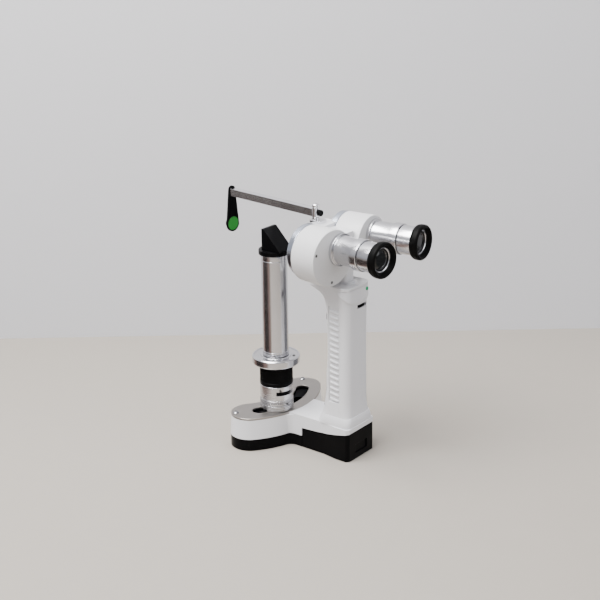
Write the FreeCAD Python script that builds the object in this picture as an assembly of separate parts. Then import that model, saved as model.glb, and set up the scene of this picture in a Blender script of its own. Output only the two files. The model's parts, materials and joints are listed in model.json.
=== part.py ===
import FreeCAD, Part
import os
import math

V = FreeCAD.Vector
os.makedirs("parts", exist_ok=True)

# ---- driving dimensions, mm; +Z up, +Y from the user towards the patient ----
FOCUS_Y = 126.0          # vertical swing axis, at the patient's eye
SLOT_R = 62.0            # radius of the arc slot about the swing axis
PLATE_HALF = 18.2        # half width of the crescent plate
PLATE_END = 41.0         # angle of the crescent's end centres, degrees
SLOT_END = 33.0          # angle of the slot's end centres, degrees
SLOT_HALF = 6.5          # half width of the slot
PLATE_Z = 33.2           # top of the crescent plate
PLATE_T = 2.0
COVER_Z = 12.0           # top of the black bottom cover at the front
FLOOR_Z = 0.5            # underside of the covers, the feet stand proud
REAR_Y = -22.8           # rear face of the base
NECK_HALF = 19.3
REAR_HALF = 21.5
REAR_CUT = 2.8           # bevel on the rear corners of the base
WEB_R = 9.0              # fillet between the neck and the crescent
PACK_Y = 33.0            # front end of the battery pack
SWING_REST = 14.9        # lamp tower rest angle, degrees to the left
HANDLE_HALF = 17.6
HANDLE_REAR = -19.2
CAN_X = 29.5
CAN_Y = -12.7
CAN_Z = 201.0
CAN_R = 25.9
CAN_LEN = 27.0
CONVERGE = 5.4
EYE_AT = {-1: (9.2, 6.4), 1: (3.9, 7.0)}     # eyepiece from the can axis, left and right
POST_Y = 29.0
POST_TOP = 238.0
BAR_Z = 230.2
BAR_YAW = -6.0
ARM = 112.5              # forehead bar, post to paddle
GAP = 0.35               # clearance between separately moving pieces

TX = -SLOT_R * math.sin(math.radians(SWING_REST))
TY = FOCUS_Y - SLOT_R * math.cos(math.radians(SWING_REST))


def save(shape, name):
    if hasattr(shape, "removeSplitter"):
        shape = shape.removeSplitter()
    shape.exportStep("parts/" + name + ".step")
    ok = shape.isValid() and all(s.isClosed() for s in shape.Shells)
    box = shape.BoundBox
    print(name, len(shape.Solids), ok, round(shape.Volume, 1),
          [round(v, 1) for v in (box.XMin, box.XMax, box.YMin, box.YMax, box.ZMin, box.ZMax)])


def cyl(r, z0, z1, x=0.0, y=0.0):
    return Part.makeCylinder(r, z1 - z0, V(x, y, z0))


def cyl_y(r, y0, y1, x=0.0, z=0.0):
    return Part.makeCylinder(r, y1 - y0, V(x, y0, z), V(0, 1, 0))


def ring(ro, ri, z0, z1, x=0.0, y=0.0):
    return cyl(ro, z0, z1, x, y).cut(cyl(ri, z0 - 1, z1 + 1, x, y))


def ring_y(ro, ri, y0, y1, x=0.0, z=0.0):
    return cyl_y(ro, y0, y1, x, z).cut(cyl_y(ri, y0 - 1, y1 + 1, x, z))


def box(x0, x1, y0, y1, z0, z1):
    return Part.makeBox(x1 - x0, y1 - y0, z1 - z0, V(x0, y0, z0))


def rect_wire(x0, x1, y0, y1, z, rf, rr):
    """Rounded rectangle at height z: rf rounds the +Y corners, rr the -Y corners."""
    q = math.sqrt(0.5)
    pts = []
    for cx, cy, sx, sy, r in ((x1 - rf, y1 - rf, 1, 1, rf), (x0 + rf, y1 - rf, -1, 1, rf),
                              (x0 + rr, y0 + rr, -1, -1, rr), (x1 - rr, y0 + rr, 1, -1, rr)):
        a = V(cx + sx * r, cy, z)
        m = V(cx + sx * r * q, cy + sy * r * q, z)
        b = V(cx, cy + sy * r, z)
        pts.append((a, m, b) if sx * sy > 0 else (b, m, a))
    edges = []
    for i in range(4):
        a, m, b = pts[i]
        edges.append(Part.Arc(a, m, b).toShape())
        edges.append(Part.makeLine(b, pts[(i + 1) % 4][0]))
    return Part.Wire(edges)


def rect_prism(x0, x1, y0, y1, z0, z1, rf, rr):
    return Part.Face(rect_wire(x0, x1, y0, y1, z0, rf, rr)).extrude(V(0, 0, z1 - z0))


def polar(r, deg, z):
    a = math.radians(deg)
    return V(r * math.sin(a), FOCUS_Y - r * math.cos(a), z)


def band_wire(half, end, z):
    """Crescent band of half width half, round ends centred at +-end degrees."""
    ro = SLOT_R + half
    ri = SLOT_R - half
    cap = []
    for s in (1, -1):
        c = polar(SLOT_R, s * end, z)
        t = math.radians(s * end)
        cap.append(V(c.x + s * half * math.cos(t), c.y + s * half * math.sin(t), z))
    outer = Part.Arc(polar(ro, -end, z), polar(ro, 0, z), polar(ro, end, z)).toShape()
    right = Part.Arc(polar(ro, end, z), cap[0], polar(ri, end, z)).toShape()
    inner = Part.Arc(polar(ri, end, z), polar(ri, 0, z), polar(ri, -end, z)).toShape()
    left = Part.Arc(polar(ri, -end, z), cap[1], polar(ro, -end, z)).toShape()
    return Part.Wire([outer, right, inner, left])


def band(half, end, z0, z1, half_top=None):
    if half_top is None:
        return Part.Face(band_wire(half, end, z0)).extrude(V(0, 0, z1 - z0))
    return Part.makeLoft([band_wire(half, end, z0), band_wire(half_top, end, z1)], True, True)


def side_prism(pts, x0, x1):
    """Prism along X from (y, z) corner points."""
    vs = [V(x0, y, z) for y, z in pts]
    return Part.Face(Part.makePolygon(vs + [vs[0]])).extrude(V(x1 - x0, 0, 0))


def screw_z(x, y, z, r, h, sink=3.0):
    """Domed screw head standing on z, with a cross recess and a shank below."""
    dome = Part.makeSphere(r * 1.25, V(x, y, z + h - r * 1.25))
    head = cyl(r, z, z + h, x, y).common(dome)
    cross = box(x - r * 0.6, x + r * 0.6, y - 0.25, y + 0.25, z + h - 0.8, z + h + 1)
    cross = cross.fuse(box(x - 0.25, x + 0.25, y - r * 0.6, y + r * 0.6, z + h - 0.8, z + h + 1))
    return head.cut(cross).fuse(cyl(r * 0.5, z - sink, z + 0.2, x, y))


# ---- base ----
SINK = PLATE_Z - PLATE_T
TIPS = [polar(SLOT_R + 2.2, s * 53.5, 0) for s in (-1, 1)]


def neck(dx, z0, z1, y0=REAR_Y):
    """Neck and rear block outline, widening to the rear."""
    pts = [V(-NECK_HALF + dx, 62, z0), V(-NECK_HALF + dx, 8, z0), V(-REAR_HALF + dx, -8, z0),
           V(-REAR_HALF + dx, y0 + REAR_CUT, z0), V(-REAR_HALF + dx + REAR_CUT, y0, z0)]
    left = pts
    right = [V(-p.x, p.y, p.z) for p in reversed(left)]
    return Part.Face(Part.makePolygon(left + right + [left[0]])).extrude(V(0, 0, z1 - z0))


def web(dx, half, z0, z1):
    """Curved webs blending a crescent of half width half into the neck."""
    side = NECK_HALF - dx
    cx = side + WEB_R
    reach = SLOT_R + half + WEB_R
    cy = FOCUS_Y - math.sqrt(reach * reach - cx * cx)
    edge = cx - WEB_R * cx / reach - 0.15
    out = None
    for s in (-1, 1):
        blk = box(min(s * (side - 1), s * edge), max(s * (side - 1), s * edge), cy, cy + WEB_R + 5, z0, z1)
        blk = blk.cut(cyl(WEB_R - 0.05, z0 - 1, z1 + 1, s * cx, cy))
        out = blk if out is None else out.fuse(blk)
    return out


PACK_TOP = [(REAR_Y - 3, 28.4), (REAR_Y, 28.2), (-15, 26.4), (-6, 24.4), (3, 22.4), (15, 21.0), (PACK_Y, 20.0)]


def pack_profile(lift, y_front, y_rear, z_low):
    pts = [(y_rear, z_low), (y_front, z_low), (y_front, PACK_TOP[-1][1] + lift)]
    for y, z in reversed(PACK_TOP[1:-1]):
        if y > y_rear + 0.5:
            pts.append((y, z + lift))
    pts.append((y_rear, PACK_TOP[0][1] + lift))
    return pts


FOOT_Z = 42.0
outer = band(PLATE_HALF + 1.3, PLATE_END, COVER_Z, SINK, PLATE_HALF)
outer = outer.fuse(neck(0.0, COVER_Z, 33.0))
outer = outer.fuse(web(0.0, PLATE_HALF, COVER_Z, SINK))
foot = Part.makeLoft([rect_wire(-20.3, 20.3, REAR_Y + 0.6, 18.0, 32.9, 12.0, 6.0),
                      rect_wire(-20.0, 20.0, REAR_Y + 0.8, 16.0, 38.0, 12.0, 6.0),
                      rect_wire(-18.8, 18.8, REAR_Y + 2.0, 14.4, FOOT_Z, 11.0, 6.0)], True, False)
outer = outer.fuse(foot)
inner = band(PLATE_HALF - 1.2, PLATE_END, COVER_Z - 1, SINK - 2.2)
inner = inner.fuse(neck(2.4, COVER_Z - 1, 29.0, REAR_Y + 2.4))
slot_cut = band(SLOT_HALF + 1.0, SLOT_END, 20, PLATE_Z + 5)
inner = inner.cut(box(-40, 40, -40, 41, 0, 60).common(band(PLATE_HALF + 3, PLATE_END, 0, 60)))
pack_room = side_prism(pack_profile(GAP, PACK_Y + GAP, REAR_Y - 5, 0), -40, 40)
housing = outer.cut(inner).cut(slot_cut).cut(pack_room)
housing = housing.cut(band(PLATE_HALF + 0.05, PLATE_END, SINK, PLATE_Z + 5))
housing = housing.cut(box(-8, 8, -14, 8, 20, FOOT_Z + 1))
for tip in TIPS:
    housing = housing.cut(cyl(1.5, 20, SINK + 1, tip.x, tip.y))
save(housing, "base_housing")

plate = band(PLATE_HALF, PLATE_END, SINK, PLATE_Z).cut(band(SLOT_HALF, SLOT_END, 20, 60))
for tip in TIPS:
    plate = plate.cut(cyl(1.6, 20, 60, tip.x, tip.y))
save(plate, "top_plate")
liner = band(SLOT_HALF + 0.9, SLOT_END, 28.9, SINK - 0.05).cut(band(SLOT_HALF + 0.2, SLOT_END, 20, 60))
save(liner, "slot_liner")
save(Part.makeCompound([screw_z(t.x, t.y, PLATE_Z, 2.9, 1.9, 5.0) for t in TIPS]), "plate_screws")

cover = band(PLATE_HALF + 1.0, PLATE_END, FLOOR_Z, COVER_Z)
cover = cover.fuse(box(-NECK_HALF + 0.3, NECK_HALF - 0.3, PACK_Y + GAP, 60, FLOOR_Z, COVER_Z))
cover = cover.fuse(web(0.3, PLATE_HALF + 1.0, FLOOR_Z, COVER_Z))
tray = band(PLATE_HALF - 1.2, PLATE_END, FLOOR_Z + 2.0, COVER_Z + 1)
cover = cover.cut(tray).cut(box(-40, 40, -40, PACK_Y + GAP, -5, 40))
cover = cover.cut(box(-14, 14, PACK_Y + 3, 50, FLOOR_Z + 2, COVER_Z + 1))
FEET = [(-42.0, 80.0), (42.0, 80.0), (-14.0, 44.0), (14.0, 44.0)]
REAR_FEET = [(-14.5, -15.0), (14.5, -15.0), (0.0, 0.0)]
for x, y in FEET:
    cover = cover.cut(cyl(3.6, -1, FLOOR_Z + 0.8, x, y))
save(cover, "bottom_cover")
save(Part.makeCompound([cyl(3.6, 0, FLOOR_Z + 0.8, x, y) for x, y in FEET]), "rubber_feet")

# ---- battery pack, slides out to the rear ----
pack = neck(0.3, FLOOR_Z, 30.0).common(side_prism(pack_profile(0, PACK_Y, REAR_Y - 3, -2), -40, 40))
pack = pack.cut(side_prism(pack_profile(-2.4, PACK_Y - 2.0, REAR_Y + 2.4, FLOOR_Z + 2.0), -17.0, 17.0))
pack = pack.cut(box(-9, 9, REAR_Y - 5, REAR_Y + 1.2, 6, 15))
for x, y in REAR_FEET:
    pack = pack.cut(cyl(3.6, -1, FLOOR_Z + 0.8, x, y))
save(pack, "battery_pack")
cells = [cyl_y(7.0, -19, 29, x, FLOOR_Z + 2.2 + 7.0) for x in (-8.0, 8.0)]
cells = [c.fuse(cyl_y(2.6, 29, 30.4, x, FLOOR_Z + 9.2)) for c, x in zip(cells, (-8.0, 8.0))]
save(Part.makeCompound(cells), "battery_cells")
save(Part.makeCompound([cyl(3.6, 0, FLOOR_Z + 0.8, x, y) for x, y in REAR_FEET]), "pack_feet")

# ---- handle: (z, half width, rear y, front y, front corner, rear corner) ----
SECTIONS = [(FOOT_Z, 18.4, -20.4, 14.0, 10.0, 6.0), (46, 18.1, -20.0, 12.4, 10.0, 6.5),
            (52, 17.9, -19.6, 11.0, 9.5, 7.0), (62, 17.7, -19.3, 9.4, 9.0, 7.0),
            (85, 17.6, -19.2, 8.0, 8.0, 7.0), (115, 17.5, -19.1, 7.0, 8.0, 7.0),
            (142, 17.6, -19.2, 7.6, 8.0, 7.0), (152, 17.8, -19.2, 9.0, 8.0, 7.0),
            (158, 18.0, -19.2, 12.5, 9.0, 7.0), (162, 18.2, -19.2, 18.0, 10.0, 7.0),
            (164.5, 18.4, -19.2, 24.5, 11.0, 7.0), (166.5, 18.6, -19.2, 29.0, 11.0, 7.0)]


def handle_solid(inset, z_low=None, z_high=None):
    wires = []
    for z, hw, yr, yf, rf, rr in SECTIONS:
        if z_low is not None and z < z_low - 0.01:
            continue
        if z_high is not None and z > z_high + 0.01:
            continue
        wires.append(rect_wire(-hw + inset, hw - inset, yr + inset, yf - inset, z,
                               max(rf - inset, 1.0), max(rr - inset, 1.0)))
    return Part.makeLoft(wires, True, False)


WHEEL_X, WHEEL_Y, WHEEL_Z, WHEEL_R = 6.0, -11.2, 148.6, 8.6
TRIG_Z = 137.0
SPLIT_Y = -11.0
LED_X, LED_Z = 12.4, 163.2
RIBS = 17
RIB_PITCH = 5.4
GRIP_Z0, GRIP_Z1 = 56.0, 150.0
GRIP_Y0, GRIP_Y1 = -10.0, 2.0
shell = handle_solid(0.0).cut(handle_solid(2.3, 46, 158))
shell = shell.cut(box(-7.5, 7.5, -13, 8, FOOT_Z - 1, 50))
shell = shell.cut(box(-11, 11, -14, 6, 154, 168))
half_front = box(-40, 40, SPLIT_Y, 60, 30, 200)
half_rear = box(-40, 40, -60, SPLIT_Y, 30, 200)
front = shell.common(half_front)
front = front.cut(box(-13.2, 13.2, 1, 20, TRIG_Z - 3.2, TRIG_Z + 3.2))
GRIP = []
for s in (-1, 1):
    x0, x1 = (16.4, 19.0) if s > 0 else (-19.0, -16.4)
    front = front.cut(box(x0, x1, GRIP_Y0, GRIP_Y1, GRIP_Z0, GRIP_Z1))
    room = box(x0, x1, GRIP_Y0 + 0.1, GRIP_Y1 - 0.1, GRIP_Z0 + 0.1, GRIP_Z1 - 0.1)
    pad = handle_solid(0.0).common(room)
    for i in range(RIBS):
        z = GRIP_Z0 + 3.2 + RIB_PITCH * i
        rib = Part.makeCylinder(0.9, 13.0, V(s * 17.3, GRIP_Y0 - 0.5, z), V(0, 1, 0.12))
        pad = pad.fuse(rib)
    GRIP.append(pad.common(room))
save(front, "handle_front")
rear = shell.common(half_rear)
rear = rear.cut(box(WHEEL_X - 7.5, WHEEL_X + 7.5, -30, -14, WHEEL_Z - 1.75, WHEEL_Z + 1.75))
rear = rear.cut(cyl_y(2.0, -30, -14, LED_X, LED_Z))
save(rear, "handle_rear")
save(Part.makeCompound(GRIP), "grip_inserts")
save(cyl_y(1.95, -19.9, -16.0, LED_X, LED_Z), "indicator_lens")
save(side_prism([(SPLIT_Y + 0.5, 56), (SPLIT_Y + 2.1, 56), (SPLIT_Y + 2.1, 132), (SPLIT_Y + 0.5, 132)], -12, 12),
     "circuit_board")
save(box(-5, 5, SPLIT_Y + 2.1, 2.0, TRIG_Z - 8, TRIG_Z - 5.2).fuse(
     box(-5, 5, SPLIT_Y + 2.1, SPLIT_Y + 4.6, TRIG_Z - 8, TRIG_Z - 2)), "trigger_switch")
trigger = rect_prism(-12.8, 12.8, 2.0, 9.2, TRIG_Z - 2.8, TRIG_Z + 2.8, 3.0, 1.0)
save(trigger, "power_trigger")
wheel = cyl(WHEEL_R, WHEEL_Z - 1.3, WHEEL_Z + 1.3, WHEEL_X, WHEEL_Y)
for i in range(40):
    a = math.radians(9 * i)
    wheel = wheel.cut(cyl(0.35, WHEEL_Z - 2, WHEEL_Z + 2, WHEEL_X + WHEEL_R * math.cos(a),
                          WHEEL_Y + WHEEL_R * math.sin(a)))
save(wheel, "brightness_wheel")
save(Part.makeCompound([cyl_y(1.0, 9.0, 13.2, x, 47.0).cut(handle_solid(0.0).common(box(-40, 40, -40, 30, 30, 60)))
                        for x in (-9.0, 9.0)]), "foot_screws")

saddle = rect_prism(-19.0, 19.0, -19.6, 29.6, 166.5, 169.6, 11.5, 7.0)
saddle = saddle.fuse(rect_prism(-6.6, 6.6, -13.0, 26.0, 169.6, 172.0, 3.0, 3.0))
save(saddle, "saddle")

# ---- binocular head ----
def seat(shape, s):
    """Move a piece built about a can's own axis to the left (-1) or right (+1) can."""
    out = shape.copy()
    out.rotate(V(0, 0, 0), V(0, 0, 1), CONVERGE * s)
    out.translate(V(CAN_X * s, CAN_Y, CAN_Z))
    return out


RINGS = []
RING_SOLID = []
LENSES = []
for s in (-1, 1):
    disc = cyl_y(24.2, CAN_LEN + 0.6, CAN_LEN + 6.4, 0, 1.6)
    disc = disc.cut(cyl_y(11.5, CAN_LEN, CAN_LEN + 7.0))
    hub = ring_y(14.6, 11.5, CAN_LEN - 5.0, CAN_LEN + 0.6)
    RINGS.append(seat(disc.fuse(hub), s))
    RING_SOLID.append(seat(cyl_y(24.2, CAN_LEN + 0.3, CAN_LEN + 6.6, 0, 1.6), s))
    lens = cyl_y(11.5, CAN_LEN + 1.5, CAN_LEN + 5.0)
    lens = lens.common(Part.makeSphere(30, V(0, CAN_LEN - 25.0, 0)))
    LENSES.append(seat(lens, s))
save(Part.makeCompound(RINGS), "front_rings")
save(Part.makeCompound(LENSES), "objective_lenses")
centre = rect_prism(-6.6, 6.6, CAN_Y + 2.6, 33.0, 172.0, 218.0, 4.0, 3.0)
nose = Part.makeLoft([rect_wire(-22, 22, 13.6, 30.0, 184.0, 6.0, 1.0),
                      rect_wire(-22, 22, 13.6, 31.0, 212.0, 6.0, 1.0),
                      rect_wire(-15, 15, 13.6, 30.5, 221.0, 6.0, 1.0)], True, False)
centre = centre.fuse(nose)
for s in (-1, 1):
    centre = centre.cut(seat(cyl_y(24.2, CAN_LEN + 0.6, CAN_LEN + 6.4, 0, 1.6), s))
    centre = centre.cut(seat(cyl_y(CAN_R + GAP, -2, CAN_LEN + 0.5), s))
    centre = centre.cut(seat(cyl_y(11.5, CAN_LEN, CAN_LEN + 30), s))
centre = max(centre.Solids, key=lambda q: q.Volume)
save(centre, "centre_body")

for s, side in ((-1, "left"), (1, "right")):
    can = cyl_y(CAN_R, 2.0, CAN_LEN)
    can = can.cut(cyl_y(CAN_R - 2.0, 2.0, CAN_LEN - 2.0)).cut(cyl_y(15.0, CAN_LEN - 5, CAN_LEN + 2))
    save(seat(can, s), "can_shell_" + side)
    ex, ez = EYE_AT[s]
    back = cyl_y(CAN_R, 0, 2.0)
    back = back.makeFillet(0.8, [e for e in back.Edges if abs(e.BoundBox.YMax) < 0.01 and len(e.Vertexes) < 2])
    back = back.cut(cyl_y(9.5, -1, 3, ex, ez))
    pos = [(s * 21.4, 7.2), (s * 1.6, -22.0), (s * -20.6, -7.6)]
    for x, z in pos:
        back = back.cut(cyl_y(1.5, -0.1, 1.2, x, z))
    save(seat(back, s), "can_back_" + side)
    heads = [cyl_y(1.5, 0.4, 1.2, x, z).cut(box(x - 1.2, x + 1.2, 0.2, 0.8, z - 0.25, z + 0.25)) for x, z in pos]
    save(seat(Part.makeCompound(heads), s), "can_screws_" + side)
    sleeve = ring_y(15.0, 9.5, -3.2, 0, ex, ez).fuse(ring_y(13.2, 9.5, -22.0, -3.2, ex, ez))
    sleeve = sleeve.fuse(ring_y(14.4, 9.5, -30.0, -22.0, ex, ez))
    sleeve = sleeve.fuse(ring_y(9.5, 8.6, -30.0, 2.0, ex, ez))
    save(seat(sleeve, s), "sleeve_" + side)
    prism = side_prism([(5, -9), (21, -9), (13, 9)], -12, 12)
    prism.rotate(V(0, 13, 0), V(0, 1, 0), 40.0 * s)
    save(seat(prism, s), "prism_" + side)
    tube = ring_y(13.4, 10.6, -44.0, -30.5, ex, ez).fuse(ring_y(11.2, 10.6, -49.0, -44.0, ex, ez))
    tube = tube.fuse(ring_y(8.2, 7.4, -31.0, -8.0, ex, ez)).fuse(ring_y(13.4, 7.4, -32.0, -30.5, ex, ez))
    tube = tube.fuse(ring_y(11.2, 8.6, -50.0, -48.0, ex, ez))
    tube = tube.cut(cyl(0.9, ez + 12.2, ez + 16, ex, -37.5))
    save(seat(tube, s), "eyepiece_tube_" + side)
    cup = ring_y(16.4, 11.2, -50.0, -44.4, ex, ez).fuse(ring_y(16.2, 12.4, -52.5, -50.0, ex, ez))
    save(seat(cup, s), "eyecup_" + side)
    glass = cyl_y(10.6, -47.6, -44.5, ex, ez).common(Part.makeSphere(24, V(ex, -24.5, ez)))
    save(seat(glass, s), "eye_lens_" + side)

# ---- forehead arm ----
bracket = rect_prism(-5.5, 5.5, POST_Y - 9.0, POST_Y + 5.0, 221.0, 223.4, 4.0, 1.5)
bracket = bracket.cut(cyl(2.2, 220, 230, 0, POST_Y))
save(bracket, "post_bracket")
HUB_Z = 225.85
HUB_R = 3.5
post = cyl(2.2, 221.0, 224.0, 0, POST_Y).fuse(cyl(HUB_R, 223.4, HUB_Z - GAP, 0, POST_Y))
post = post.fuse(cyl(2.0, 225.0, POST_TOP - 2.0, 0, POST_Y))
save(post, "post")


def swing_arm(shape):
    out = shape.copy()
    out.rotate(V(0, POST_Y, 0), V(0, 0, 1), BAR_YAW)
    return out


hub = cyl(HUB_R, HUB_Z, POST_TOP - 0.8, 0, POST_Y)
hub = hub.fuse(Part.makeCone(HUB_R, HUB_R - 0.8, 0.8, V(0, POST_Y, POST_TOP - 0.8)))
hub = hub.cut(ring(4.5, HUB_R - 0.4, 235.0, 235.5, 0, POST_Y))
arm = box(-3.2, 3.2, POST_Y + 1.0, POST_Y + ARM - 2.0, BAR_Z - 3.5, BAR_Z + 3.5).fuse(hub)
arm = arm.fuse(cyl_y(1.6, POST_Y + ARM - 3.0, POST_Y + ARM + 0.7, 0, BAR_Z))
arm = arm.cut(cyl(2.08, HUB_Z - 1, POST_TOP - 1.6, 0, POST_Y))
save(swing_arm(arm), "arm_bar")
knob = cyl_y(2.9, POST_Y - 7.2, POST_Y - 3.9, 0, BAR_Z)
knob = knob.fuse(cyl_y(1.2, POST_Y - 4.5, POST_Y - 3.5, 0, BAR_Z))
save(swing_arm(knob), "arm_knob")
PAD_Y = POST_Y + ARM
PAD_Z = BAR_Z - 31.6
BACK_Y = PAD_Y - 1.6
FACE_Y = PAD_Y + 0.8
outline = Part.Wire([
    Part.Arc(V(-3.8, BACK_Y, BAR_Z + 2.5), V(0, BACK_Y, BAR_Z + 6.0), V(3.8, BACK_Y, BAR_Z + 2.5)).toShape(),
    Part.makeLine(V(3.8, BACK_Y, BAR_Z + 2.5), V(7.4, BACK_Y, PAD_Z + 1.5)),
    Part.Arc(V(7.4, BACK_Y, PAD_Z + 1.5), V(0, BACK_Y, PAD_Z - 8.2), V(-7.4, BACK_Y, PAD_Z + 1.5)).toShape(),
    Part.makeLine(V(-7.4, BACK_Y, PAD_Z + 1.5), V(-3.8, BACK_Y, BAR_Z + 2.5))])
paddle = Part.Face(outline).extrude(V(0, FACE_Y - BACK_Y, 0))
paddle = paddle.cut(cyl_y(1.65, PAD_Y - 5, PAD_Y + 5, 0, BAR_Z))
paddle = paddle.cut(cyl_y(6.7, BACK_Y - 1, BACK_Y + 0.9, 0, PAD_Z))
save(swing_arm(paddle), "paddle")
save(swing_arm(cyl_y(6.7, BACK_Y + 0.2, BACK_Y + 0.9, 0, PAD_Z)), "sight_disc")
save(swing_arm(cyl_y(6.2, FACE_Y, FACE_Y + 2.6, 0, PAD_Z)), "brow_pad")

# ---- lamp tower, built about its own axis, swung about the focus ----
def tower(shape):
    out = shape.copy()
    out.translate(V(TX, TY, 0))
    return out


BAND_Z0, BAND_Z1 = 59.0, 79.6
RING_Z0, RING_Z1 = 80.0, 88.0
TUBE_Z1 = 188.0
CORE_R = 10.4
body = cyl(16.0, PLATE_Z + GAP, BAND_Z0 - 0.4).cut(cyl(16.0, 42.0, 42.6).cut(cyl(15.4, 41, 43)))
body = body.cut(ring(17, 15.3, 44.4, 45.2)).cut(ring(17, 15.3, 39.0, 39.6))
window = Part.makeCylinder(18.0, 3.8, V(0, 0, 50.2), V(0, 0, 1), 76.0)
window.rotate(V(0, 0, 0), V(0, 0, 1), -142.0)
body = body.cut(window.cut(cyl(13.0, 30, 60)))
body = body.cut(cyl(8.4, PLATE_Z + 12, 60)).fuse(cyl(5.3, 29.8, PLATE_Z + GAP))
core = ring(CORE_R, 8.4, BAND_Z0 - 0.4, 96.0)
for zc in (69.2, 84.0):
    cut = ring(CORE_R + 1, 8, zc - 1.1, zc + 1.1)
    core = core.cut(cut.common(box(0, 20, -20, 20, 0, 200)))
body = body.fuse(core)
save(tower(body), "carriage_body")
shoe = rect_prism(-9, 9, -8.5, 8.5, 24.0, 28.4, 4, 4).fuse(cyl(5.3, 28.4, 29.8))
shoe.rotate(V(0, 0, 0), V(0, 0, 1), -SWING_REST)
save(tower(shoe), "carriage_shoe")
pins = []
for ang, z in ((-128.0, 55.5), (-103.0, 41.0)):
    a = math.radians(ang)
    pin = Part.makeCylinder(1.1, 2.0, V(15.2 * math.cos(a), 15.2 * math.sin(a), z), V(math.cos(a), math.sin(a), 0))
    pins.append(tower(pin))
lamp_body = tower(body)
save(Part.makeCompound([p.cut(lamp_body) for p in pins]), "carriage_screws")
tube = ring(12.3, CORE_R, 88.4, 96.0).fuse(ring(12.3, 11.0, 96.0, TUBE_Z1))
save(tower(tube), "lamp_tube")
save(tower(cyl(8.4, 46.5, 52.0).fuse(cyl(4.0, 52.0, 55.0))), "bulb_holder")
bulb = cyl(2.6, 55.0, 59.5).fuse(Part.makeSphere(2.6, V(0, 0, 59.5)))
save(tower(bulb), "bulb")
lens = cyl(8.4, 62.5, 66.5).common(Part.makeSphere(12, V(0, 0, 55.5)))
save(tower(lens), "condenser_lens")
lens = cyl(11.0, 150.0, 154.0).common(Part.makeSphere(30, V(0, 0, 124.5)))
save(tower(lens), "projector_lens")

band_ring = ring(16.0, CORE_R + GAP, BAND_Z0, BAND_Z1)
for i in range(48):
    a = math.radians(7.5 * i)
    band_ring = band_ring.cut(cyl(0.5, BAND_Z0 + 6, BAND_Z1 - 3, 16.2 * math.cos(a), 16.2 * math.sin(a)))
save(tower(band_ring), "filter_band")


def carrier(z, holes):
    disc = cyl(8.0, z - 0.5, z + 0.5).fuse(Part.makeCylinder(0.7, CORE_R - 6.6, V(7.0, 0, z), V(1, 0, 0)))
    for h in holes:
        disc = disc.cut(h)
    return disc


holes = [cyl(r, 60, 90, 4.2 * math.cos(i * 1.571 + 0.785), 4.2 * math.sin(i * 1.571 + 0.785))
         for i, r in enumerate((2.2, 1.6, 1.0, 0.6))]
save(tower(carrier(69.2, holes)), "filter_disc")
wheel_ring = ring(22.8, CORE_R + GAP, RING_Z0, RING_Z1).cut(ring(24, 12.6, 87.4, 89).cut(ring(24, 20.8, 87, 90)))
wheel_ring = wheel_ring.fuse(ring(14.6, 12.7, 87.4, 88.0))
for k in range(2):
    a = math.radians(-150.0 + 85.0 * k)
    wheel_ring = wheel_ring.cut(cyl(1.4, 85.0, 90, 17.5 * math.cos(a), 17.5 * math.sin(a)))
save(tower(wheel_ring), "slit_ring")
heads = []
for k in range(2):
    a = math.radians(-150.0 + 85.0 * k)
    x, y = 17.5 * math.cos(a), 17.5 * math.sin(a)
    heads.append(tower(cyl(1.4, 85.0, 87.8, x, y).cut(box(x - 1.2, x + 1.2, y - 0.2, y + 0.2, 87.2, 89))))
save(Part.makeCompound(heads), "ring_screws")
save(tower(carrier(84.0, [box(-4.5, 4.5, -0.4, 0.4, 80, 88)])), "slit_disc")

wedge = side_prism([(6.8, 192.2), (6.8, 212.8), (4.4, 212.8), (-14.2, 193.6), (-13.2, 192.2)], -9.5, 9.5)
wedge = wedge.cut(side_prism([(4.8, 194.4), (4.8, 209.5), (3.4, 209.5), (-8.4, 194.4)], -7.5, 7.5))
wedge = wedge.cut(box(-6.5, 6.5, 4, 8, 196, 209))
head = cyl(14.4, TUBE_Z1 + GAP, 192.4).fuse(cyl(10.6, 183.0, TUBE_Z1 + GAP)).fuse(wedge)
head = head.cut(cyl(6.4, 180, 194.4))
save(tower(head), "prism_head")
glass = side_prism([(4.8, 194.4), (4.8, 209.5), (3.4, 209.5), (-8.4, 194.4)], -7.5, 7.5)
save(tower(glass), "prism_glass")
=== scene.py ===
import json
import math

import bmesh
import bpy
from bpy.props import FloatProperty, FloatVectorProperty, IntProperty, PointerProperty
from mathutils import Matrix, Quaternion, Vector


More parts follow.
